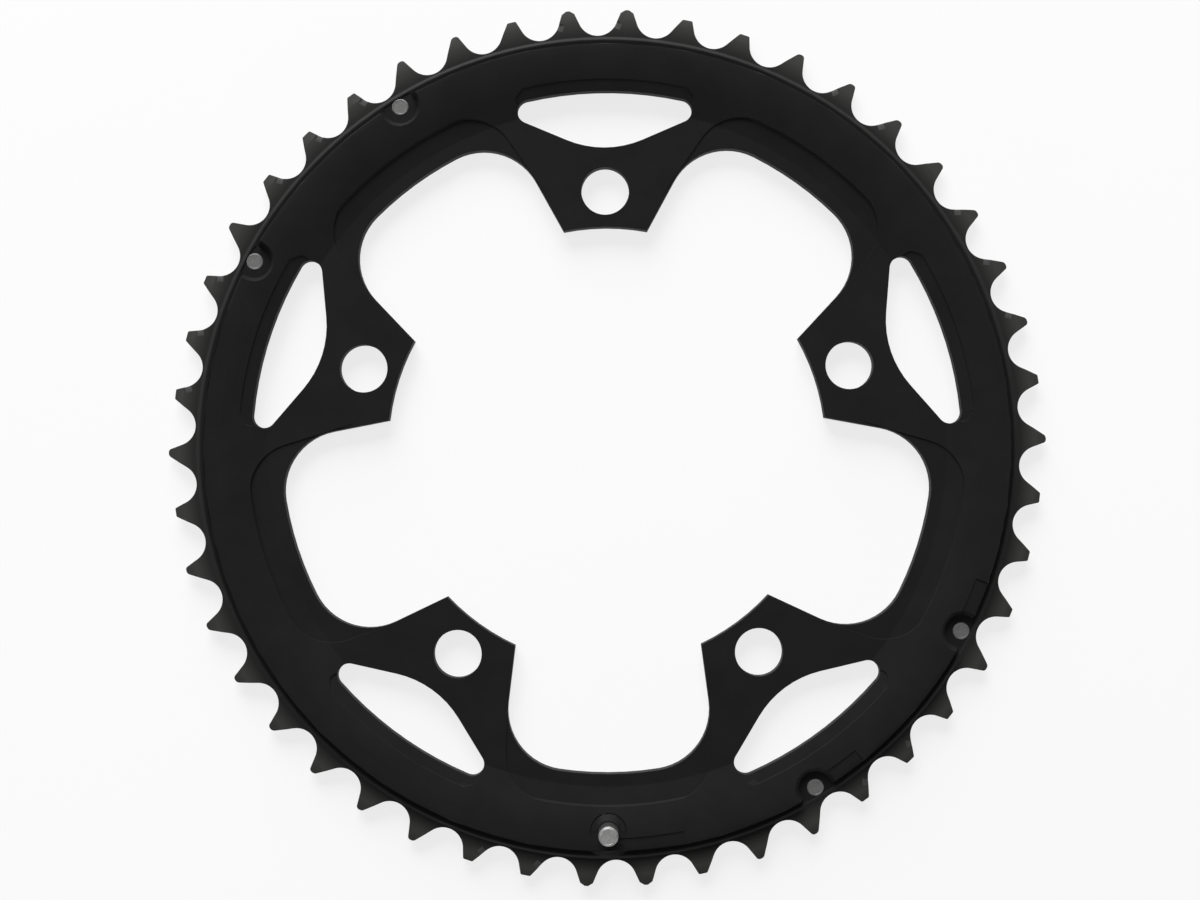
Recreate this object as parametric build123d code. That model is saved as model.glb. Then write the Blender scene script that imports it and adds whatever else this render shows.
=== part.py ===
from build123d import *
import os
from math import atan2, cos, degrees, radians, sin, sqrt, tan

# Outer chainring of a two-ring bicycle crankset: one aluminium ring with shift-shaped teeth,
# four shift pins and a chain drop pin.
# Lengths are in millimetres and angles in degrees. The axis of the ring is +Z, and its outer
# face looks up. The origin is on the axis, in the plane where the five tabs seat on the spider.
# One arm points along +Y, and the drop pin is opposite it, at -Y.

# Chain and tooth outline
CHAIN_PITCH = 12.7
TOOTH_COUNT = 46
ROLLER_SEAT_RADIUS = 4.35
FIRST_GAP_ANGLE = 4.77
STEEP_FLANK = 18.3
GENTLE_FLANK = 32.4
EVEN_FLANK = 19.5
FULL_TIP_HEIGHT = 1.5
CUT_TIP_HEIGHT = 0.95
LOW_TIP_HEIGHT = 0.7
EVEN_TIP_CHAMFER = 0.75

# Tooth thickness, and the relief that thins each tooth from below the pitch circle to its tip
TOOTH_THICKNESS = 2.0
RELIEF_DEPTH = 1.25
RELIEF_SLOPE = 16.0

# Heights of the section
ARM_THICKNESS = 3.4
BACK_STEP_HEIGHT = 1.2
LAND_RISE = 2.1
GROOVE_FLOOR_RISE = 0.15
RIDGE_RISE = 0.4

# Radial sizes of the rim, each counted inwards from the one before, starting at the tooth roots
ROOT_MARGIN = 0.3
RIDGE_BEVEL = 0.6
GROOVE_WIDTH = 1.2
LAND_WIDTH = 4.5
CONE_WIDTH = 9.0
RIM_INNER_MARGIN = 2.7

# Step on the back, counted outwards from the rim's inner edge
BACK_STEP_MARGIN = 3.1
BACK_STEP_WIDTH = 1.2

# Tabs and bolt holes
ARM_COUNT = 5
BOLT_CIRCLE_DIAMETER = 110.0
BOLT_HOLE_DIAMETER = 10.3
TAB_END_MARGIN = 7.75
TAB_END_WIDTH = 18.0
TAB_LEAN = 28.75
RIM_CORNER_RADIUS = 12.94

# Shallow ledge that runs round each lobe of the opening
LEDGE_DEPTH = 0.25
LEDGE_SLOPE = 9.0
LEDGE_WIDTH = 6.45
LEDGE_FOOT_DROP = 2.0
LEDGE_FOOT_SPREAD = 23.26
LEDGE_LEAN = 35.1
LEDGE_CORNER_RADIUS = 10.0

# Slot in each arm, a wide V between the bolt hole and the rim, and the ledge on its outer side
SLOT_HOLE_MARGIN = 7.6
SLOT_RIM_MARGIN = 12.15
SLOT_SIDE_SLOPE = 23.0
SLOT_END_ROUND = 2.5
SLOT_MIDDLE_ROUND = 21.0
SLOT_LEDGE_WIDTH = 2.4
SLOT_LEDGE_SHIFT = 2.0
SLOT_LEDGE_ROUND = 2.5
SLOT_LEDGE_FACETS = 2
SLOT_LEDGE_DEPTH = 0.25

# Slope of the step at the outer edge of both kinds of ledge
LEDGE_STEP_SLOPE = 60.0

# Shift pins: steel pins in two opposite pairs, each peened over in a tapered pocket
SHIFT_PIN_ANGLES = (121.0, 152.0, 301.0, 332.0)
SHIFT_PIN_ROOT_MARGIN = 3.0
SHIFT_PIN_DIAMETER = 3.65
SHIFT_PIN_REACH = 0.9
SHIFT_PIN_TAIL_RISE = 0.12
POCKET_MARGIN = 1.675
POCKET_DRAFT = 25.0
POCKET_RIDGE_MARGIN = 0.35

# Chain drop pin, and the boss of the ring that it stands in
DROP_PIN_ANGLE = 269.85
DROP_PIN_LAND_MARGIN = 4.25
DROP_PIN_DIAMETER = 4.2
DROP_PIN_REACH = 5.5
BOSS_WALL = 0.35
BOSS_SLOPE = 30.0

# Gap left all round each pin in its hole
PIN_CLEARANCE = 0.02

# Flats milled into the edge of the land, each starting at a pin
FLAT_DEPTH = 0.25
FLAT_WIDTH = 2.9
SHIFT_FLAT_SPAN = 7.8
DROP_FLAT_SPAN = 11.0

# Half of the teeth in order, anticlockwise from +X; the other half repeats them
TOOTH_ORDER = (
    "full cut full full full full full full full low low even even "
    "cut full full cut low low full cut low low"
).split()

# Flanks on the clockwise and anticlockwise side, height over the pitch circle and tip chamfer
TOOTH_KINDS = {
    "full": (STEEP_FLANK, GENTLE_FLANK, FULL_TIP_HEIGHT, 0),
    "cut": (STEEP_FLANK, GENTLE_FLANK, CUT_TIP_HEIGHT, 0),
    "low": (STEEP_FLANK, GENTLE_FLANK, LOW_TIP_HEIGHT, 0),
    "even": (EVEN_FLANK, EVEN_FLANK, FULL_TIP_HEIGHT, EVEN_TIP_CHAMFER),
}

# Angles and radii that follow
tooth_angle = 360 / TOOTH_COUNT
arm_angle = 360 / ARM_COUNT
pitch_radius = CHAIN_PITCH / (2 * sin(radians(tooth_angle / 2)))
root_radius = pitch_radius - ROLLER_SEAT_RADIUS
blank_radius = pitch_radius + FULL_TIP_HEIGHT + ROOT_MARGIN
relief_radius = pitch_radius - RELIEF_DEPTH
ridge_foot_radius = root_radius - ROOT_MARGIN
ridge_radius = ridge_foot_radius - RIDGE_BEVEL
land_edge_radius = ridge_radius - GROOVE_WIDTH
crown_radius = land_edge_radius - LAND_WIDTH
cone_start_radius = crown_radius - CONE_WIDTH
rim_inner_radius = cone_start_radius - RIM_INNER_MARGIN
back_step_radius = rim_inner_radius + BACK_STEP_MARGIN
bolt_circle_radius = BOLT_CIRCLE_DIAMETER / 2
tab_end_radius = bolt_circle_radius - TAB_END_MARGIN
blank_inner_radius = tab_end_radius - ARM_THICKNESS
ledge_radius = rim_inner_radius + LEDGE_WIDTH
slot_point_radius = bolt_circle_radius + SLOT_HOLE_MARGIN
slot_outer_radius = root_radius - SLOT_RIM_MARGIN
shift_pin_circle_radius = root_radius - SHIFT_PIN_ROOT_MARGIN
drop_pin_circle_radius = land_edge_radius - DROP_PIN_LAND_MARGIN
cone_fall = LAND_RISE / CONE_WIDTH
slot_side = Vector(cos(radians(SLOT_SIDE_SLOPE)), sin(radians(SLOT_SIDE_SLOPE)))

# Heights that follow
tooth_face = BACK_STEP_HEIGHT + TOOTH_THICKNESS
land_face = ARM_THICKNESS + LAND_RISE
groove_floor = tooth_face + GROOVE_FLOOR_RISE
cut_top = land_face + ARM_THICKNESS
cut_bottom = -ARM_THICKNESS


def polar(radius, angle):
    """Point at a radius and an angle about the ring's axis."""
    return Vector(radius * cos(radians(angle)), radius * sin(radians(angle)))


def beside_arm(radius, angle):
    """Point at a radius and an angle clockwise from the arm along +Y."""
    return polar(radius, 90 - angle)


def meet_circle(start, direction, radius):
    """Point where a line from start along direction leaves a circle about the axis."""
    along = start.dot(direction)
    return start + direction * (sqrt(along**2 - start.dot(start) + radius**2) - along)


def step_towards(start, goal, distance):
    """Point at a distance from start on the way to goal."""
    return start + (goal - start).normalized() * distance


def around(shape):
    """Copies of a shape on all arms."""
    return [Rot(0, 0, arm * arm_angle) * shape for arm in range(ARM_COUNT)]


def face_inside(*curves):
    """Face bounded by curves that join end to end."""
    return make_face([edge for curve in curves for edge in curve.edges()])


def prism(face):
    """Cutter with this outline, from below the ring to above it."""
    return extrude(Pos(0, 0, cut_bottom) * face, cut_top - cut_bottom)


def turned(*points):
    """Solid turned about Z from a closed section of radius and height pairs."""
    return revolve(Plane.XZ * make_face(Polyline(*points, close=True)), Axis.Z)


def at_pin(radius, angle, shape):
    """Shape moved from the ring's axis to a pin's axis."""
    spot = polar(radius, angle)
    return Pos(spot.X, spot.Y) * shape


def tooth_side(flank, side, tip):
    """Foot of a flank on its roller seat and its end on the tip circle, tooth along +Y."""
    seat = beside_arm(pitch_radius, side * tooth_angle / 2)
    slope = radians(flank)
    foot = seat + Vector(-side * cos(slope), -sin(slope)) * ROLLER_SEAT_RADIUS
    return foot, meet_circle(foot, Vector(-side * sin(slope), cos(slope)), tip)


def tooth_curve(kind):
    """Outline of one tooth along +Y, from its clockwise foot over the tip to the other foot."""
    clockwise_flank, other_flank, tip_height, tip_chamfer = TOOTH_KINDS[kind]
    foot, corner = tooth_side(clockwise_flank, 1, pitch_radius + tip_height)
    other_foot, other_corner = tooth_side(other_flank, -1, pitch_radius + tip_height)
    if tip_chamfer == 0:
        return Polyline(foot, corner, other_corner, other_foot)
    setback = min(tip_chamfer, 0.4 * (corner - other_corner).length)
    return Polyline(
        foot,
        step_towards(corner, foot, setback),
        step_towards(corner, other_corner, setback),
        step_towards(other_corner, corner, setback),
        step_towards(other_corner, other_foot, setback),
        other_foot,
    )


def tooth_turn(number):
    """Turn that takes a tooth from +Y to its place."""
    return FIRST_GAP_ANGLE + (number - 0.5) * tooth_angle - 90


def tooth_outline():
    """Face inside all teeth, with a roller seat between each tooth and the next."""
    teeth = []
    for number in range(TOOTH_COUNT):
        kind = TOOTH_ORDER[number % len(TOOTH_ORDER)]
        teeth.append(Rot(0, 0, tooth_turn(number)) * tooth_curve(kind))
    seats = []
    for number in range(TOOTH_COUNT):
        root = polar(root_radius, FIRST_GAP_ANGLE + number * tooth_angle)
        next_tooth = teeth[(number + 1) % TOOTH_COUNT]
        seats.append(ThreePointArc(teeth[number] @ 1, root, next_tooth @ 0))
    return face_inside(*teeth, *seats)


def rim_blank():
    """Turned blank: flat arms, cone, land, groove, ridge and tooth band."""
    return turned(
        (blank_inner_radius, 0),
        (blank_inner_radius, ARM_THICKNESS),
        (cone_start_radius, ARM_THICKNESS),
        (crown_radius, land_face),
        (land_edge_radius, land_face),
        (land_edge_radius, groove_floor),
        (ridge_radius, tooth_face + RIDGE_RISE),
        (ridge_foot_radius, tooth_face),
        (blank_radius, tooth_face),
        (blank_radius, BACK_STEP_HEIGHT),
        (back_step_radius + BACK_STEP_WIDTH, BACK_STEP_HEIGHT),
        (back_step_radius, 0),
    )


def relief_wedges():
    """Flat cutters that thin every tooth towards its tip, on the outer face."""
    fall = tan(radians(RELIEF_SLOPE))
    section = Polyline(
        (relief_radius - ROOT_MARGIN, tooth_face + ROOT_MARGIN * fall),
        (blank_radius, tooth_face - (blank_radius - relief_radius) * fall),
        (blank_radius, tooth_face + ROOT_MARGIN * fall),
        close=True,
    )
    wedge = extrude(Plane.YZ * make_face(section), CHAIN_PITCH - 2 * ROLLER_SEAT_RADIUS, both=True)
    return [Rot(0, 0, tooth_turn(number)) * wedge for number in range(TOOTH_COUNT)]


def arm_side(foot, lean, corner_radius, rim_radius):
    """Line up the clockwise side of an arm, and the arc from it into a circle about the axis."""
    along = Vector(sin(radians(lean)), cos(radians(lean)))
    across = Vector(along.Y, -along.X)
    centre = meet_circle(foot + across * corner_radius, along, rim_radius - corner_radius)
    bend = centre - across * corner_radius
    join = centre.normalized() * rim_radius
    return Line(foot, bend) + TangentArc(bend, join, tangent=along)


def lobe_arc(side):
    """Arc about the axis from the end of one arm's side to that of the next arm clockwise."""
    join = side @ 1
    next_join = Vector(-join.X, join.Y).rotate(Axis.Z, -arm_angle)
    return ThreePointArc(join, beside_arm(join.length, arm_angle / 2), next_join)


def opening():
    """Cutter for the five-lobed opening between the tabs."""
    half_width = TAB_END_WIDTH / 2
    corner = Vector(half_width, sqrt(tab_end_radius**2 - half_width**2))
    side = arm_side(corner, TAB_LEAN, RIM_CORNER_RADIUS, rim_inner_radius)
    other_side = mirror(side, Plane.YZ)
    tab_end = ThreePointArc(corner, (0, tab_end_radius), (-corner.X, corner.Y))
    curves = (side, other_side, tab_end, lobe_arc(side))
    return prism(face_inside(*[copy for curve in curves for copy in around(curve)]))


def ledge_space(low, high, radius):
    """Space over a ledge that is flat, then a cone up to a radius, then a sloped step."""
    step_reach = cut_top / tan(radians(LEDGE_STEP_SLOPE))
    return turned(
        (0, low),
        (cone_start_radius, low),
        (radius, high),
        (radius + step_reach, high + cut_top),
        (0, high + cut_top),
    )


def lobe_ledge():
    """Shallow cutter along one lobe, from one arm's side round to the next arm."""
    low = ARM_THICKNESS - LEDGE_DEPTH
    rise = (ledge_radius - cone_start_radius) * tan(radians(LEDGE_SLOPE))
    step_height = (ledge_radius - cone_start_radius) * cone_fall + LEDGE_DEPTH - rise
    step_width = step_height / (tan(radians(LEDGE_STEP_SLOPE)) - cone_fall)
    foot = Vector(LEDGE_FOOT_SPREAD / 2, bolt_circle_radius - LEDGE_FOOT_DROP)
    side = arm_side(foot, LEDGE_LEAN, LEDGE_CORNER_RADIUS, ledge_radius + step_width)
    next_side = Rot(0, 0, -arm_angle) * mirror(side, Plane.YZ)
    next_foot = Vector(-foot.X, foot.Y).rotate(Axis.Z, -arm_angle)
    outline = face_inside(side, lobe_arc(side), next_side, Line(foot, next_foot))
    return prism(outline) & ledge_space(low, low + rise, ledge_radius)


def slot():
    """Cutter for the slot through one arm, with ends as round as its straight sides allow."""
    point = Vector(0, slot_point_radius)
    end = meet_circle(point, slot_side, slot_outer_radius)
    other_end = Vector(-end.X, end.Y)
    sides = FilletPolyline(end, point, other_end, radius=SLOT_MIDDLE_ROUND)
    outline = face_inside(sides, ThreePointArc(end, (0, slot_outer_radius), other_end))
    corners = outline.vertices().sort_by(Axis.X)
    corner_angle = radians(SLOT_SIDE_SLOPE) + atan2(end.X, end.Y)
    straight_side = outline.edges().filter_by(GeomType.LINE)[0].length
    widest_round = 0.75 * straight_side * tan(corner_angle / 2)
    end_round = min(SLOT_END_ROUND, widest_round)
    return prism(fillet([corners[0], corners[-1]], end_round))


def slot_ledge():
    """Shallow cutter along the outer side of one slot, parallel to the cone."""
    outer_radius = slot_outer_radius + SLOT_LEDGE_WIDTH
    point = Vector(0, slot_point_radius + SLOT_LEDGE_SHIFT)
    across = Vector(-slot_side.Y, slot_side.X)
    beside = point + across * SLOT_LEDGE_ROUND
    centre = meet_circle(beside, slot_side, outer_radius - SLOT_LEDGE_ROUND)
    first_angle = SLOT_SIDE_SLOPE - 90
    facet_angle = (degrees(atan2(centre.Y, centre.X)) - first_angle) / SLOT_LEDGE_FACETS
    half = [point]
    for facet in range(SLOT_LEDGE_FACETS + 1):
        half.append(centre + polar(SLOT_LEDGE_ROUND, first_angle + facet * facet_angle))
    half.append(half[-1].normalized() * blank_radius)
    other_half = [Vector(-corner.X, corner.Y) for corner in reversed(half[1:])]
    outline = make_face(Polyline(*half, *other_half, close=True))
    low = ARM_THICKNESS - SLOT_LEDGE_DEPTH
    rise = (outer_radius - cone_start_radius) * cone_fall
    return prism(outline) & ledge_space(low, low + rise, outer_radius)


def land_flat(start_angle, span):
    """Cutter for a flat along the edge of the land, anticlockwise from a pin."""
    corner = Pos(land_edge_radius - FLAT_WIDTH, land_face - FLAT_DEPTH)
    section = corner * Rectangle(FLAT_WIDTH + GROOVE_WIDTH, LAND_RISE, align=Align.MIN)
    return Rot(0, 0, start_angle) * revolve(Plane.XZ * section, Axis.Z, span)


def pin_hole(diameter):
    """Cutter for the hole of a pin, on the ring's axis."""
    return Cylinder(diameter / 2 + PIN_CLEARANCE, 2 * cut_top)


def shift_pin_pocket(angle):
    """Tapered cutter round the tail of a shift pin that stops at the ridge."""
    floor_radius = SHIFT_PIN_DIAMETER / 2 + POCKET_MARGIN
    mouth_radius = floor_radius + (cut_top - groove_floor) * tan(radians(POCKET_DRAFT))
    pocket = turned(
        (0, groove_floor),
        (floor_radius, groove_floor),
        (mouth_radius, cut_top),
        (0, cut_top),
    )
    inside_ridge = Cylinder(ridge_radius - POCKET_RIDGE_MARGIN, 2 * cut_top)
    return at_pin(shift_pin_circle_radius, angle, pocket) & inside_ridge


def drop_pin_boss():
    """Cone that carries the drop pin, up to the level of the land."""
    top_radius = DROP_PIN_DIAMETER / 2 + BOSS_WALL
    foot_radius = top_radius + LAND_RISE / tan(radians(BOSS_SLOPE))
    boss = turned(
        (0, BACK_STEP_HEIGHT),
        (top_radius, BACK_STEP_HEIGHT),
        (foot_radius, ARM_THICKNESS),
        (top_radius, land_face),
        (0, land_face),
    )
    return at_pin(drop_pin_circle_radius, DROP_PIN_ANGLE, boss)


def chainring():
    """Ring with its teeth, openings, ledges, pockets and pin holes."""
    ring = rim_blank() & prism(tooth_outline())
    ring -= relief_wedges()
    ring += drop_pin_boss()
    ring -= opening()
    ring -= around(slot())
    ring -= around(slot_ledge())
    ring -= around(lobe_ledge())
    ring -= around(Pos(0, bolt_circle_radius) * Cylinder(BOLT_HOLE_DIAMETER / 2, 2 * cut_top))
    ring -= land_flat(DROP_PIN_ANGLE, DROP_FLAT_SPAN)
    ring -= at_pin(drop_pin_circle_radius, DROP_PIN_ANGLE, pin_hole(DROP_PIN_DIAMETER))
    for angle in SHIFT_PIN_ANGLES:
        ring -= land_flat(angle, SHIFT_FLAT_SPAN)
        ring -= shift_pin_pocket(angle)
        ring -= at_pin(shift_pin_circle_radius, angle, pin_hole(SHIFT_PIN_DIAMETER))
    return ring


def straight_pin(diameter, bottom, top):
    """Plain pin on the ring's axis between two heights."""
    return extrude(Pos(0, 0, bottom) * Circle(diameter / 2), top - bottom)


def shift_pin(angle):
    """Pin through the rim, proud of its back, with its peened tail in the pocket."""
    inner_end = BACK_STEP_HEIGHT - SHIFT_PIN_REACH
    pin = straight_pin(SHIFT_PIN_DIAMETER, inner_end, groove_floor + SHIFT_PIN_TAIL_RISE)
    return at_pin(shift_pin_circle_radius, angle, pin)


def drop_pin():
    """Plain pin through the boss, level with the rim's back."""
    pin = straight_pin(DROP_PIN_DIAMETER, BACK_STEP_HEIGHT, land_face + DROP_PIN_REACH)
    return at_pin(drop_pin_circle_radius, DROP_PIN_ANGLE, pin)


os.makedirs("parts", exist_ok=True)
export_step(chainring(), "parts/chainring.step")
export_step(drop_pin(), "parts/chain_drop_pin.step")
for number, angle in enumerate(SHIFT_PIN_ANGLES, start=1):
    export_step(shift_pin(angle), f"parts/shift_pin_{number}.step")
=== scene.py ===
import math

import bmesh
import bpy
from mathutils import Matrix, Vector


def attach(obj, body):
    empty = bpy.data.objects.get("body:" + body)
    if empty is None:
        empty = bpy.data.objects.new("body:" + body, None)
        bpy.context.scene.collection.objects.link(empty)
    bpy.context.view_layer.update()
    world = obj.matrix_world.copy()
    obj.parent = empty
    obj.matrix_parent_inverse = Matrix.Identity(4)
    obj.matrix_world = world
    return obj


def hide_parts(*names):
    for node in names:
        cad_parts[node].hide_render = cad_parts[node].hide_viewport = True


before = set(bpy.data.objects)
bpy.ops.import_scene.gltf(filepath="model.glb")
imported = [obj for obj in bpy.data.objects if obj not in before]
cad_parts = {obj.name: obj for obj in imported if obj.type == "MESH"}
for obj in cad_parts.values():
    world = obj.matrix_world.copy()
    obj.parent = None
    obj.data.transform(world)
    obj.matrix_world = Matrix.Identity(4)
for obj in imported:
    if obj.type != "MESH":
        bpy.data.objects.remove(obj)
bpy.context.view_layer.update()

MM = 0.001

# Photograph: its frame, the lens, and where the camera stands, in metres
PHOTO_WIDTH = 1200
FOCAL_PIXELS = 1844.8
SENSOR_WIDTH = 36.0
CAMERA_PLACE = (0.000285, -0.009491, 0.399891)
CAMERA_RIGHT = (0.999967, -0.006670, -0.004614)
CAMERA_UP = (0.006769, 0.999743, 0.021620)
CAMERA_BACK = (0.004468, -0.021650, 0.999756)

# Section of the rim, in millimetres
CONE_START = 73.1
LEDGE_END = 77.4
LEDGE_TILT = 9.0
LEDGE_DEPTH = 0.25
LEDGE_FOOT = 56.0
CROWN = 82.1
LAND_EDGE = 86.6
RIDGE = 87.8
ROOT = 88.7
ARM_FACE = 3.4
LAND_FACE = 5.5
FLAT_FACE = 5.25
BACK_FACE = 1.2

# How far the surface is painted pale, by radius in millimetres: the narrow band on the ridge is
# a painted highlight, and the teeth, paler towards their tips, are partly worn finish and partly
# painted light
WEAR_AND_HIGHLIGHT_SPAN = 10.0
WEAR_AND_HIGHLIGHT_STEPS = ((87.4, 0.0), (87.65, 0.33), (88.35, 0.33), (88.8, 0.2), (92.0, 1.0), (94.5, 0.75))

# Milled facets on the flanks of some teeth: radius, size and tilt, and the teeth that have them
FIRST_TOOTH = 0.86
TOOTH_STEP = 360 / 46
FACET_RADIUS = 91.3
FACET_LENGTH = 1.5
FACET_BLOCK = 2.8
FACET_DEPTH = 0.3
FACET_TILT = 14.0
FLANK_START = 89.5
FLANK_TOP = 2.5
AHEAD_TEETH = (2, 3, 4, 6, 7, 11, 12, 32, 33, 39, 40)
BEHIND_TEETH = (16, 17, 18, 20, 21, 22)

# Softened edges: radii, widths and heights in millimetres, and the steps of a circle
CROWN_REACH = 4.2
CROWN_DROP = 0.245
CROWN_CIRCLES = (77.9, 78.9, 79.9, 80.8, 81.5, 82.7, 83.4, 84.3, 85.3)
LAND_ROUND = 0.45
LAND_CIRCLES = (86.2, 86.42)
CIRCLE_STEPS = 240
CIRCLE_LOW = 4.3
CIRCLE_HIGH = 6.5
LEDGE_CORNER = 1.2
LEDGE_CORNER_START = 76.8
LEDGE_CORNER_END = 79.5
EDGE_BEVEL = 0.14
RIDGE_BEVEL = 0.12
TIP_START = 93.3
FULL_TIP_START = 94.3
FULL_TIP_ROUND = 0.5
CUT_TIP_ROUND = 0.3

# Least angle between the faces at each kind of edge, and for a crisp edge, in degrees
FOLD_TURN = 6
RIDGE_TURN = 30
CORNER_TURN = 40
TIP_TURN = 48
WALL_TURN = 50
RING_CRISP = 32
PIN_CRISP = 20

# Outer ends of the pins: width and rise of each ring from the edge inwards, in millimetres, and
# how far a face has to look up to have the steel of the end
SHIFT_PIN_COUNT = 4
TAIL_RINGS = ((0.10, 0.10), (0.22, 0.06), (0.10, -0.05), (0.75, -0.02))
TAIL_LEAN = 0.3
STOP_LEAN = 0.5
STOP_RINGS = ((0.30, 0.38), (0.14, 0.08), (0.06, -0.05), (0.95, -0.03), (0.25, -0.04))

# Drop pin, and the groove round its boss, in millimetres
STOP_SPOT = (-0.2156, -82.3497)
BOSS_GROOVE_RADIUS = 3.8
BOSS_GROOVE_WIDTH = 0.16
BOSS_GROOVE_DEPTH = 0.3
BOSS_GROOVE_STEPS = 72
BOSS_LOW = 4.0
BOSS_FACE_LOW = 4.2


def only(piece):
    """Leave this piece as the one that is selected and active."""
    bpy.ops.object.select_all(action="DESELECT")
    piece.select_set(True)
    bpy.context.view_layer.objects.active = piece


def cad_copy(node_name, piece_name):
    """Merged copy of a CAD node, with its flat faces whole."""
    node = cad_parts[node_name]
    only(node)
    bpy.ops.object.duplicate()
    piece = bpy.context.object
    piece.name = piece_name
    piece.data.name = piece_name
    for key in list(piece.keys()):
        del piece[key]
    piece.parent = None
    piece.data.materials.clear()
    only(piece)
    bpy.ops.object.mode_set(mode="EDIT")
    bpy.ops.mesh.select_all(action="SELECT")
    bpy.ops.mesh.remove_doubles(threshold=1e-6)
    bpy.ops.mesh.customdata_custom_splitnormals_clear()
    bpy.ops.mesh.dissolve_limited(angle_limit=math.radians(0.3))
    bpy.ops.object.mode_set(mode="OBJECT")
    return piece


def select_edges(piece, wanted):
    """Enter edit mode with the edges selected that the test picks."""
    only(piece)
    bpy.ops.object.mode_set(mode="EDIT")
    bpy.ops.mesh.select_mode(type="EDGE")
    bpy.ops.mesh.select_all(action="DESELECT")
    mesh = bmesh.from_edit_mesh(piece.data)
    count = 0
    for edge in mesh.edges:
        if wanted(edge):
            edge.select_set(True)
            count += 1
    bmesh.update_edit_mesh(piece.data)
    return count


def select_faces(piece, wanted):
    """Enter edit mode with the faces selected that the test picks."""
    only(piece)
    bpy.ops.object.mode_set(mode="EDIT")
    bpy.ops.mesh.select_mode(type="FACE")
    bpy.ops.mesh.select_all(action="DESELECT")
    mesh = bmesh.from_edit_mesh(piece.data)
    for face in mesh.faces:
        face.select_set(wanted(face))
    bmesh.update_edit_mesh(piece.data)


def bevel_edges(piece, wanted, width, steps):
    """Round the edges that the test picks."""
    count = select_edges(piece, wanted)
    if count:
        bpy.ops.mesh.bevel(
            offset_type="OFFSET",
            offset=width * MM,
            segments=steps,
            profile=0.5,
            affect="EDGES",
            clamp_overlap=False,
        )
    bpy.ops.object.mode_set(mode="OBJECT")


def radius_of(point, spot=(0, 0)):
    """Distance of a point from the ring's axis or another upright line, in millimetres."""
    return math.hypot(point.x / MM - spot[0], point.y / MM - spot[1])


def middle_of(edge):
    """Middle of an edge."""
    return (edge.verts[0].co + edge.verts[1].co) / 2


def cut_circles(ring, radii, low, high, spot=(0, 0), steps=CIRCLE_STEPS):
    """Cut circles about an upright line into the outer face, between two heights."""
    tubes = []
    for radius in radii:
        bpy.ops.object.select_all(action="DESELECT")
        bpy.ops.mesh.primitive_cylinder_add(
            vertices=steps,
            radius=radius * MM,
            depth=(high - low) * MM,
            end_fill_type="NOTHING",
            location=(spot[0] * MM, spot[1] * MM, (low + high) / 2 * MM),
        )
        tubes.append(bpy.context.object)

    def on_tube(face):
        """Whether a face belongs to one of the tubes that cut the circles."""
        if abs(face.normal.z) > 0.05:
            return False
        return any(
            all(abs(radius_of(vert.co, spot) - radius) < 0.03 for vert in face.verts)
            for radius in radii
        )

    only(ring)
    for tube in tubes:
        tube.select_set(True)
    bpy.ops.object.join()
    select_faces(ring, on_tube)
    bpy.ops.mesh.intersect(mode="SELECT_UNSELECT", separate_mode="NONE", solver="EXACT")
    bpy.ops.object.mode_set(mode="OBJECT")
    select_faces(ring, on_tube)
    bpy.ops.mesh.delete(type="FACE")
    bpy.ops.mesh.select_all(action="SELECT")
    bpy.ops.mesh.delete_loose(use_verts=True, use_edges=True, use_faces=False)
    bpy.ops.object.mode_set(mode="OBJECT")


def soften_land(ring):
    """Lower the cut circles, so that the crown and the edge of the land are round."""
    for vert in ring.data.vertices:
        radius = radius_of(vert.co)
        height = vert.co.z / MM
        cone = ARM_FACE + (radius - CONE_START) / (CROWN - CONE_START) * (LAND_FACE - ARM_FACE)
        face = min(cone, LAND_FACE)
        drop = 0.0
        from_crown = abs(radius - CROWN)
        if from_crown < CROWN_REACH and abs(height - face) < 0.04:
            drop = CROWN_DROP * (1 - from_crown / CROWN_REACH) ** 2
        from_edge = radius - (LAND_EDGE - LAND_ROUND)
        on_land = abs(height - LAND_FACE) < 0.02 or abs(height - FLAT_FACE) < 0.02
        if from_edge > 0 and radius < LAND_EDGE + 0.05 and on_land:
            lean = min(from_edge / LAND_ROUND, 1.0)
            drop = LAND_ROUND * (1 - math.sqrt(1 - 0.96 * lean**2))
        vert.co.z -= drop * MM


def fade_ledges(ring):
    """Let the ledges of the lobes run out into the sides of the tabs."""
    for vert in ring.data.vertices:
        on_ledge = abs(vert.co.z / MM - ARM_FACE + LEDGE_DEPTH) < 0.02
        if on_ledge and radius_of(vert.co) < LEDGE_FOOT:
            vert.co.z = ARM_FACE * MM
    only(ring)
    bpy.ops.object.mode_set(mode="EDIT")
    bpy.ops.mesh.select_all(action="SELECT")
    bpy.ops.mesh.remove_doubles(threshold=1e-6)
    bpy.ops.object.mode_set(mode="OBJECT")


def groove_boss(ring):
    """Cut a fine groove round the boss of the drop pin, deepest on the side of the arms."""
    circles = (BOSS_GROOVE_RADIUS,)
    cut_circles(ring, circles, BOSS_LOW, CIRCLE_HIGH, STOP_SPOT, BOSS_GROOVE_STEPS)

    def on_circle(edge):
        """Edge of the circle on the upper face."""
        if edge.verts[0].co.z < BOSS_FACE_LOW * MM:
            return False
        return all(
            abs(radius_of(vert.co, STOP_SPOT) - BOSS_GROOVE_RADIUS) < 0.02 for vert in edge.verts
        )

    bevel_edges(ring, on_circle, BOSS_GROOVE_WIDTH, 2)
    for vert in ring.data.vertices:
        off = abs(radius_of(vert.co, STOP_SPOT) - BOSS_GROOVE_RADIUS)
        if off < 0.02 and vert.co.z > BOSS_FACE_LOW * MM:
            inwards = (vert.co.y / MM - STOP_SPOT[1]) / BOSS_GROOVE_RADIUS
            vert.co.z -= BOSS_GROOVE_DEPTH * min(1.0, max(0.0, inwards + 0.45)) * MM


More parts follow.
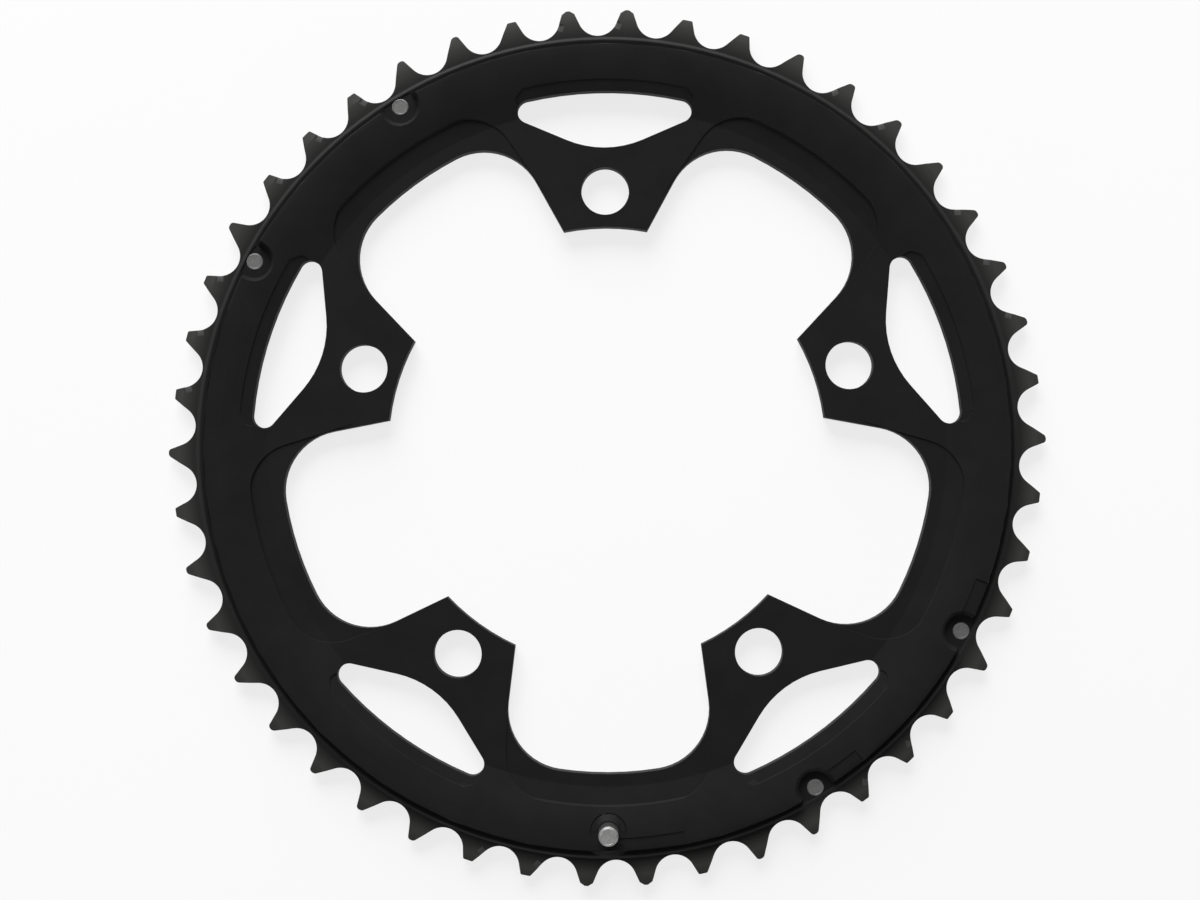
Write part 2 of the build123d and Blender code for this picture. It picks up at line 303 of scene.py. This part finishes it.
def finish_shading(piece, angle):
    """Smooth shading that leaves wide faces flat and keeps the edges marked sharp."""
    only(piece)
    bpy.ops.object.shade_smooth_by_angle(angle=math.radians(angle), keep_sharp_edges=True)
    modifier = piece.modifiers.new("weighted", "WEIGHTED_NORMAL")
    modifier.keep_sharp = True
    modifier.weight = 50
    bpy.ops.object.modifier_apply(modifier=modifier.name)


def slope_at(radius, tilt):
    """Rise over run of the turned face at a radius, for a face of this tilt, or None."""
    if not CONE_START - 0.1 < radius < LAND_EDGE - LAND_ROUND:
        return None
    if abs(tilt - LEDGE_TILT) < 2.0 and radius < LEDGE_END:
        return math.tan(math.radians(LEDGE_TILT))
    full = (LAND_FACE - ARM_FACE) / (CROWN - CONE_START)
    across = (radius - CROWN + CROWN_REACH) / (2 * CROWN_REACH)
    slope = full * (1 - min(max(across, 0.0), 1.0))
    if abs(math.tan(math.radians(tilt)) - slope) > 0.06:
        return None
    return slope


def turn_normals(ring):
    """Give the cone, the crown and the ledges the shading of a turned face."""
    mesh = ring.data
    normals = [Vector(corner.vector) for corner in mesh.corner_normals]
    for face in mesh.polygons:
        if face.normal.z < 0.95:
            continue
        tilt = math.degrees(math.acos(min(face.normal.z, 1.0)))
        if face.normal.x * face.center.x + face.normal.y * face.center.y > 0.0001 * tilt:
            continue
        for corner in face.loop_indices:
            place = mesh.vertices[mesh.loops[corner].vertex_index].co
            radius = radius_of(place)
            slope = slope_at(radius, tilt)
            if slope is not None:
                inwards = Vector((-place.x, -place.y, 0)) / (radius * MM) * slope
                normals[corner] = (inwards + Vector((0, 0, 1))).normalized()
    mesh.normals_split_custom_set(normals)


def fold_edge(edge):
    """Crease between two upper faces, inside the groove."""
    if not edge.is_manifold or edge.calc_face_angle(0) < math.radians(FOLD_TURN):
        return False
    first, second = edge.link_faces
    lowest = min(first.normal.z, second.normal.z)
    return lowest > 0.8 and radius_of(middle_of(edge)) < LAND_EDGE - LAND_ROUND - 0.15


def crease_folds(ring):
    """Keep the folds between the arms, the cone, the ledges and the boss crisp."""
    select_edges(ring, fold_edge)
    bpy.ops.mesh.mark_sharp()
    bpy.ops.object.mode_set(mode="OBJECT")


def flank_edge(ring, tooth, side):
    """Middle and outward direction of the upper edge on one flank of a tooth."""
    axis = math.radians(FIRST_TOOTH + tooth * TOOTH_STEP)
    best = None
    mesh = ring.data
    for face in mesh.polygons:
        if abs(face.normal.z) > 0.1 or radius_of(face.center) < FLANK_START:
            continue
        turned = math.atan2(face.center.y, face.center.x) - axis
        turned = (turned + math.pi) % (2 * math.pi) - math.pi
        if not 0 < side * math.degrees(turned) < TOOTH_STEP / 2:
            continue
        tops = [mesh.vertices[index].co for index in face.vertices]
        highest = max(top.z for top in tops)
        tops = [top for top in tops if top.z > highest - 0.02 * MM]
        middle = sum(tops, Vector()) / len(tops)
        off = abs(radius_of(middle) - FACET_RADIUS)
        if highest > FLANK_TOP * MM and (best is None or off < best[0]):
            best = (off, middle, Vector((face.normal.x, face.normal.y, 0)).normalized())
    return best[1], best[2]


def place_facets(ring):
    """Where each facet lies: a point on it, its outward direction and its turn."""
    facets = []
    tilt = math.radians(FACET_TILT)
    for side, teeth in ((1, AHEAD_TEETH), (-1, BEHIND_TEETH)):
        for tooth in teeth:
            middle, outwards = flank_edge(ring, tooth, side)
            upright = Vector((0, 0, math.cos(tilt))) + outwards * math.sin(tilt)
            along = Vector((-outwards.y, outwards.x, 0))
            across = upright.cross(along)
            spot = middle - upright * FACET_DEPTH * MM
            turn = Matrix((along, across, upright)).transposed()
            facets.append((spot, upright, turn))
    return facets


def mill_facets(ring, facets):
    """Cut the small sloping facets into the flanks."""
    blocks = []
    for spot, upright, turn in facets:
        bpy.ops.object.select_all(action="DESELECT")
        bpy.ops.mesh.primitive_cube_add(
            size=1.0,
            location=spot + upright * FACET_BLOCK / 2 * MM,
            rotation=turn.to_euler(),
            scale=(FACET_LENGTH * MM, FACET_BLOCK * MM, FACET_BLOCK * MM),
        )
        blocks.append(bpy.context.object)
    only(ring)
    bpy.ops.object.mode_set(mode="EDIT")
    bpy.ops.mesh.select_all(action="DESELECT")
    bpy.ops.object.mode_set(mode="OBJECT")
    for block in blocks:
        block.select_set(True)
    bpy.ops.object.join()
    bpy.ops.object.mode_set(mode="EDIT")
    bpy.ops.mesh.intersect_boolean(operation="DIFFERENCE", solver="EXACT")
    bpy.ops.object.mode_set(mode="OBJECT")


def outer_edge(edge):
    """Edge between a face that looks up and a wall, on the outer side of the ring."""
    if not edge.is_manifold or edge.calc_face_angle(0) < math.radians(WALL_TURN):
        return False
    if not edge.is_convex or edge.calc_length() < 0.2 * MM:
        return False
    first, second = edge.link_faces
    upper = max(first.normal.z, second.normal.z)
    lower = min(first.normal.z, second.normal.z)
    if upper < 0.85 or abs(lower) > 0.3:
        return False
    radius = radius_of(middle_of(edge))
    return not (CROWN - 2.5 < radius < RIDGE + 0.2)


def inner_edge(edge):
    """Edge between a face that looks down and a wall, on the back of the ring."""
    if not edge.is_manifold or edge.calc_face_angle(0) < math.radians(WALL_TURN):
        return False
    if not edge.is_convex or edge.calc_length() < 0.2 * MM:
        return False
    first, second = edge.link_faces
    upper = max(first.normal.z, second.normal.z)
    lower = min(first.normal.z, second.normal.z)
    radius = radius_of(middle_of(edge))
    return lower < -0.95 and abs(upper) < 0.3 and not CROWN - 3.0 < radius < ROOT - 0.7


def ridge_edge(edge):
    """Top of the ridge beside the groove."""
    place = middle_of(edge)
    if not edge.is_manifold or edge.calc_face_angle(0) < math.radians(RIDGE_TURN):
        return False
    return abs(radius_of(place) - RIDGE) < 0.06 and place.z > (BACK_FACE + 2.3) * MM


def ledge_corner(edge):
    """Short upright edge at a corner of the ledge beside a slot."""
    along = edge.verts[1].co - edge.verts[0].co
    if not edge.is_manifold or edge.calc_face_angle(0) < math.radians(CORNER_TURN):
        return False
    if edge.calc_length() > 0.3 * MM or abs(along.normalized().z) < 0.99:
        return False
    return LEDGE_CORNER_START < radius_of(middle_of(edge)) < LEDGE_CORNER_END


def tip_edge(edge):
    """Upright edge at the tip of a tooth."""
    along = edge.verts[1].co - edge.verts[0].co
    if not edge.is_manifold or edge.calc_face_angle(0) < math.radians(TIP_TURN):
        return False
    return abs(along.normalized().z) > 0.99 and radius_of(middle_of(edge)) > TIP_START


def full_tip_edge(edge):
    """Upright edge at the tip of a tooth of full height."""
    return tip_edge(edge) and radius_of(middle_of(edge)) > FULL_TIP_START


def dress_ring():
    """The toothed ring with softened edges."""
    ring = cad_copy("chainring", "toothed_ring")
    facets = place_facets(ring)
    fade_ledges(ring)
    bevel_edges(ring, ledge_corner, LEDGE_CORNER, 6)
    cut_circles(ring, (*CROWN_CIRCLES, *LAND_CIRCLES), CIRCLE_LOW, CIRCLE_HIGH)
    soften_land(ring)
    groove_boss(ring)
    crease_folds(ring)
    bevel_edges(ring, full_tip_edge, FULL_TIP_ROUND, 4)
    bevel_edges(ring, tip_edge, CUT_TIP_ROUND, 3)
    bevel_edges(ring, ridge_edge, RIDGE_BEVEL, 2)
    bevel_edges(ring, outer_edge, EDGE_BEVEL, 2)
    bevel_edges(ring, inner_edge, EDGE_BEVEL, 2)
    mill_facets(ring, facets)
    finish_shading(ring, RING_CRISP)
    turn_normals(ring)
    ring.data.materials.append(anodised_black())
    ring.data.materials.append(facet_painted_glint())

    def on_facet(face):
        """Whether a face is one of the milled facets."""
        centre = face.calc_center_median()
        return any(
            face.normal.dot(upright) > 0.999 and (centre - spot).length < FACET_LENGTH * MM
            for spot, upright, turn in facets
        )

    # The milled facets take the pale colour of a painted glint
    select_faces(ring, on_facet)
    ring.active_material_index = 1
    bpy.ops.object.material_slot_assign()
    bpy.ops.object.mode_set(mode="OBJECT")
    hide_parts("chainring")
    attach(ring, "root")


def end_face(face):
    """Flat outer end of a pin."""
    return face.normal.z > 0.99


def shape_end(pin, rings):
    """Shape the outer end by insets, each with its width and its rise."""
    select_faces(pin, end_face)
    tallest = sum(rise for width, rise in rings if rise > 0)
    bpy.ops.transform.translate(value=(0, 0, -tallest * MM))
    for width, rise in rings:
        bpy.ops.mesh.inset(thickness=width * MM, depth=rise * MM, use_even_offset=False)
    bpy.ops.object.mode_set(mode="OBJECT")


def dress_pin(node_name, piece_name, rings, side_steel, end_steel, end_lean):
    """A pin with its outer end shaped, its side of one steel and its end of another."""
    pin = cad_copy(node_name, piece_name)
    shape_end(pin, rings)
    pin.data.materials.append(side_steel)
    pin.data.materials.append(end_steel)
    select_faces(pin, lambda face: face.normal.z > end_lean)
    pin.active_material_index = 1
    bpy.ops.object.material_slot_assign()
    bpy.ops.object.mode_set(mode="OBJECT")
    finish_shading(pin, PIN_CRISP)
    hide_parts(node_name)
    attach(pin, "root")


def add_camera():
    """Camera above the ring, looking down on its outer face."""
    bpy.ops.object.camera_add(location=CAMERA_PLACE)
    camera = bpy.context.object
    camera.name = "camera"
    camera.data.sensor_fit = "HORIZONTAL"
    camera.data.sensor_width = SENSOR_WIDTH
    camera.data.lens = FOCAL_PIXELS * SENSOR_WIDTH / PHOTO_WIDTH
    camera.data.clip_start = 0.01
    camera.data.dof.use_dof = False
    turn = Matrix((CAMERA_RIGHT, CAMERA_UP, CAMERA_BACK)).transposed()
    camera.rotation_euler = turn.to_euler()
    bpy.context.scene.camera = camera


def seen_ray(nodes, links):
    """Socket that is 1 where a surface is seen, directly, in a reflection or through glass."""
    path = nodes.new("ShaderNodeLightPath")
    camera_or_glossy = nodes.new("ShaderNodeMath")
    camera_or_glossy.operation = "MAXIMUM"
    any_seen = nodes.new("ShaderNodeMath")
    any_seen.operation = "MAXIMUM"
    links.new(path.outputs["Is Camera Ray"], camera_or_glossy.inputs[0])
    links.new(path.outputs["Is Glossy Ray"], camera_or_glossy.inputs[1])
    links.new(camera_or_glossy.outputs[0], any_seen.inputs[0])
    links.new(path.outputs["Is Transmission Ray"], any_seen.inputs[1])
    return any_seen.outputs[0]


def floor_white():
    """White floor that keeps a pale shadow where it is seen."""
    material = bpy.data.materials.new("floor_white")
    material.use_nodes = True
    nodes = material.node_tree.nodes
    links = material.node_tree.links
    nodes.clear()
    output = nodes.new("ShaderNodeOutputMaterial")
    paint = nodes.new("ShaderNodeBsdfDiffuse")
    paint.inputs["Color"].default_value = (0.95, 0.95, 0.95, 1)
    glow = nodes.new("ShaderNodeEmission")
    glow.inputs["Color"].default_value = (1, 1, 1, 1)
    glow.inputs["Strength"].default_value = 1.0
    seen = nodes.new("ShaderNodeMixShader")
    seen.inputs["Fac"].default_value = 0.8
    choice = nodes.new("ShaderNodeMixShader")
    links.new(paint.outputs[0], seen.inputs[1])
    links.new(glow.outputs[0], seen.inputs[2])
    links.new(seen_ray(nodes, links), choice.inputs[0])
    links.new(paint.outputs[0], choice.inputs[1])
    links.new(seen.outputs[0], choice.inputs[2])
    links.new(choice.outputs[0], output.inputs["Surface"])
    return material


def add_floor():
    """Floor under the ring."""
    bpy.ops.object.select_all(action="DESELECT")
    bpy.ops.mesh.primitive_plane_add(size=6.0, location=(0, 0, 0))
    floor = bpy.context.object
    floor.name = "floor"
    floor.data.materials.append(floor_white())


def add_area(name, place, size, watts):
    """Soft lamp that looks at the ring."""
    bpy.ops.object.light_add(type="AREA", location=place)
    lamp = bpy.context.object
    lamp.name = name
    lamp.data.shape = "SQUARE"
    lamp.data.size = size
    lamp.data.energy = watts
    lamp.rotation_euler = (-Vector(place)).to_track_quat("-Z", "Y").to_euler()


def add_light():
    """Plain studio light, stronger from beyond the top of the picture."""
    world = bpy.data.worlds.new("studio")
    bpy.context.scene.world = world
    world.use_nodes = True
    nodes = world.node_tree.nodes
    links = world.node_tree.links
    nodes.clear()
    output = nodes.new("ShaderNodeOutputWorld")
    fill = nodes.new("ShaderNodeBackground")
    fill.inputs["Color"].default_value = (1, 1, 1, 1)
    fill.inputs["Strength"].default_value = 0.02
    backdrop = nodes.new("ShaderNodeBackground")
    backdrop.inputs["Color"].default_value = (1, 1, 1, 1)
    backdrop.inputs["Strength"].default_value = 1.0
    choice = nodes.new("ShaderNodeMixShader")
    links.new(seen_ray(nodes, links), choice.inputs[0])
    links.new(fill.outputs[0], choice.inputs[1])
    links.new(backdrop.outputs[0], choice.inputs[2])
    links.new(choice.outputs[0], output.inputs["Surface"])
    add_area("far_light", (-0.35, 1.85, 0.84), 1.6, 96)
    add_area("left_light", (-1.5, 0.3, 1.3), 1.0, 3)
    add_area("near_light", (-0.4, -1.9, 0.11), 0.2, 10)
    add_area("right_light", (1.55, -1.1, 0.11), 0.2, 6)


def anodised_black():
    """Satin black anodised aluminium with a fine blasted grain."""
    material = bpy.data.materials.new("anodised_black")
    material.use_nodes = True
    nodes = material.node_tree.nodes
    links = material.node_tree.links
    shader = nodes["Principled BSDF"]
    shader.inputs["Specular IOR Level"].default_value = 0.045
    place = nodes.new("ShaderNodeTexCoord")
    patches = nodes.new("ShaderNodeTexNoise")
    patches.inputs["Scale"].default_value = 140
    patches.inputs["Detail"].default_value = 4
    tint = nodes.new("ShaderNodeValToRGB")
    tint.color_ramp.elements[0].position = 0.3
    tint.color_ramp.elements[0].color = (0.0100, 0.0100, 0.0104, 1)
    tint.color_ramp.elements[1].position = 0.7
    tint.color_ramp.elements[1].color = (0.0126, 0.0126, 0.0129, 1)
    flat_place = nodes.new("ShaderNodeVectorMath")
    flat_place.operation = "MULTIPLY"
    flat_place.inputs[1].default_value = (1, 1, 0)
    from_axis = nodes.new("ShaderNodeVectorMath")
    from_axis.operation = "LENGTH"
    tooth_band = nodes.new("ShaderNodeMapRange")
    tooth_band.inputs["From Min"].default_value = LAND_EDGE * MM
    tooth_band.inputs["From Max"].default_value = (LAND_EDGE + WEAR_AND_HIGHLIGHT_SPAN) * MM
    tooth_band.inputs["To Min"].default_value = 0.0
    tooth_band.inputs["To Max"].default_value = 1.0
    # Pale band on the ridge is a painted highlight; the paler teeth are partly worn finish,
    # partly painted light
    wear_and_highlight = nodes.new("ShaderNodeValToRGB")
    for radius, paleness in WEAR_AND_HIGHLIGHT_STEPS:
        stop = wear_and_highlight.color_ramp.elements.new((radius - LAND_EDGE) / WEAR_AND_HIGHLIGHT_SPAN)
        stop.color = (paleness, paleness, paleness, 1)
    wear_and_highlight.color_ramp.elements.remove(wear_and_highlight.color_ramp.elements[0])
    wear_and_highlight.color_ramp.elements.remove(wear_and_highlight.color_ramp.elements[-1])
    # Mixes in the pale tone: painted highlight on the ridge, and teeth partly worn and partly
    # painted light
    wear_and_highlight_mix = nodes.new("ShaderNodeMix")
    wear_and_highlight_mix.data_type = "RGBA"
    wear_and_highlight_mix.inputs["B"].default_value = (0.046, 0.0455, 0.0435, 1)
    sheen = nodes.new("ShaderNodeMapRange")
    sheen.inputs["From Min"].default_value = 0.3
    sheen.inputs["From Max"].default_value = 0.7
    sheen.inputs["To Min"].default_value = 0.5
    sheen.inputs["To Max"].default_value = 0.58
    grain = nodes.new("ShaderNodeTexNoise")
    grain.inputs["Scale"].default_value = 5200
    grain.inputs["Detail"].default_value = 2
    bump = nodes.new("ShaderNodeBump")
    bump.inputs["Strength"].default_value = 0.12
    bump.inputs["Distance"].default_value = 0.00006
    links.new(place.outputs["Object"], patches.inputs["Vector"])
    links.new(place.outputs["Object"], grain.inputs["Vector"])
    links.new(patches.outputs[0], tint.inputs["Fac"])
    links.new(patches.outputs[0], sheen.inputs["Value"])
    links.new(grain.outputs[0], bump.inputs["Height"])
    links.new(place.outputs["Object"], flat_place.inputs[0])
    links.new(flat_place.outputs["Vector"], from_axis.inputs[0])
    links.new(from_axis.outputs["Value"], tooth_band.inputs["Value"])
    links.new(tooth_band.outputs["Result"], wear_and_highlight.inputs["Fac"])
    links.new(wear_and_highlight.outputs["Color"], wear_and_highlight_mix.inputs["Factor"])
    links.new(tint.outputs["Color"], wear_and_highlight_mix.inputs["A"])
    links.new(wear_and_highlight_mix.outputs["Result"], shader.inputs["Base Color"])
    links.new(sheen.outputs["Result"], shader.inputs["Roughness"])
    links.new(bump.outputs["Normal"], shader.inputs["Normal"])
    return material


def facet_painted_glint():
    """Milled facets whose pale colour is a painted glint, smoother and glossier than the
    anodised finish.
    """
    material = bpy.data.materials.new("facet_painted_glint")
    material.use_nodes = True
    nodes = material.node_tree.nodes
    links = material.node_tree.links
    shader = nodes["Principled BSDF"]
    shader.inputs["Roughness"].default_value = 0.45
    shader.inputs["Specular IOR Level"].default_value = 0.25
    place = nodes.new("ShaderNodeTexCoord")
    marks = nodes.new("ShaderNodeTexNoise")
    marks.inputs["Scale"].default_value = 2200
    tint = nodes.new("ShaderNodeValToRGB")
    # Pale tone: a painted glint on the facets
    tint.color_ramp.elements[0].position = 0.3
    tint.color_ramp.elements[0].color = (0.028, 0.028, 0.028, 1)
    tint.color_ramp.elements[1].position = 0.7
    tint.color_ramp.elements[1].color = (0.05, 0.05, 0.049, 1)
    links.new(place.outputs["Object"], marks.inputs["Vector"])
    links.new(marks.outputs[0], tint.inputs["Fac"])
    links.new(tint.outputs["Color"], shader.inputs["Base Color"])
    return material


def pin_steel(name, tone, roughness, metal):
    """Bare steel of a pin, slightly uneven."""
    material = bpy.data.materials.new(name)
    material.use_nodes = True
    nodes = material.node_tree.nodes
    links = material.node_tree.links
    shader = nodes["Principled BSDF"]
    shader.inputs["Metallic"].default_value = metal
    place = nodes.new("ShaderNodeTexCoord")
    marks = nodes.new("ShaderNodeTexNoise")
    marks.inputs["Scale"].default_value = 1500
    marks.inputs["Detail"].default_value = 4
    tint = nodes.new("ShaderNodeValToRGB")
    tint.color_ramp.elements[0].position = 0.3
    tint.color_ramp.elements[0].color = (tone * 0.75, tone * 0.75, tone * 0.74, 1)
    tint.color_ramp.elements[1].position = 0.7
    tint.color_ramp.elements[1].color = (tone, tone, tone * 0.99, 1)
    polish = nodes.new("ShaderNodeMapRange")
    polish.inputs["From Min"].default_value = 0.3
    polish.inputs["From Max"].default_value = 0.7
    polish.inputs["To Min"].default_value = roughness + 0.1
    polish.inputs["To Max"].default_value = roughness - 0.05
    bump = nodes.new("ShaderNodeBump")
    bump.inputs["Strength"].default_value = 0.25
    bump.inputs["Distance"].default_value = 0.0001
    links.new(place.outputs["Object"], marks.inputs["Vector"])
    links.new(marks.outputs[0], tint.inputs["Fac"])
    links.new(marks.outputs[0], polish.inputs["Value"])
    links.new(marks.outputs[0], bump.inputs["Height"])
    links.new(tint.outputs["Color"], shader.inputs["Base Color"])
    links.new(polish.outputs["Result"], shader.inputs["Roughness"])
    links.new(bump.outputs["Normal"], shader.inputs["Normal"])
    return material


bpy.context.scene.view_settings.view_transform = "Standard"
add_camera()
add_floor()
add_light()
dress_ring()
turned_steel = pin_steel("turned_steel", 0.3, 0.35, 1.0)
peened_steel = pin_steel("peened_steel", 0.12, 0.5, 0.45)
faced_steel = pin_steel("faced_steel", 0.25, 0.4, 0.45)
for number in range(1, SHIFT_PIN_COUNT + 1):
    dress_pin(
        f"shift_pin_{number}",
        f"shift_rivet_{number}",
        TAIL_RINGS,
        turned_steel,
        peened_steel,
        TAIL_LEAN,
    )
dress_pin("chain_drop_pin", "chain_stop_pin", STOP_RINGS, turned_steel, faced_steel, STOP_LEAN)
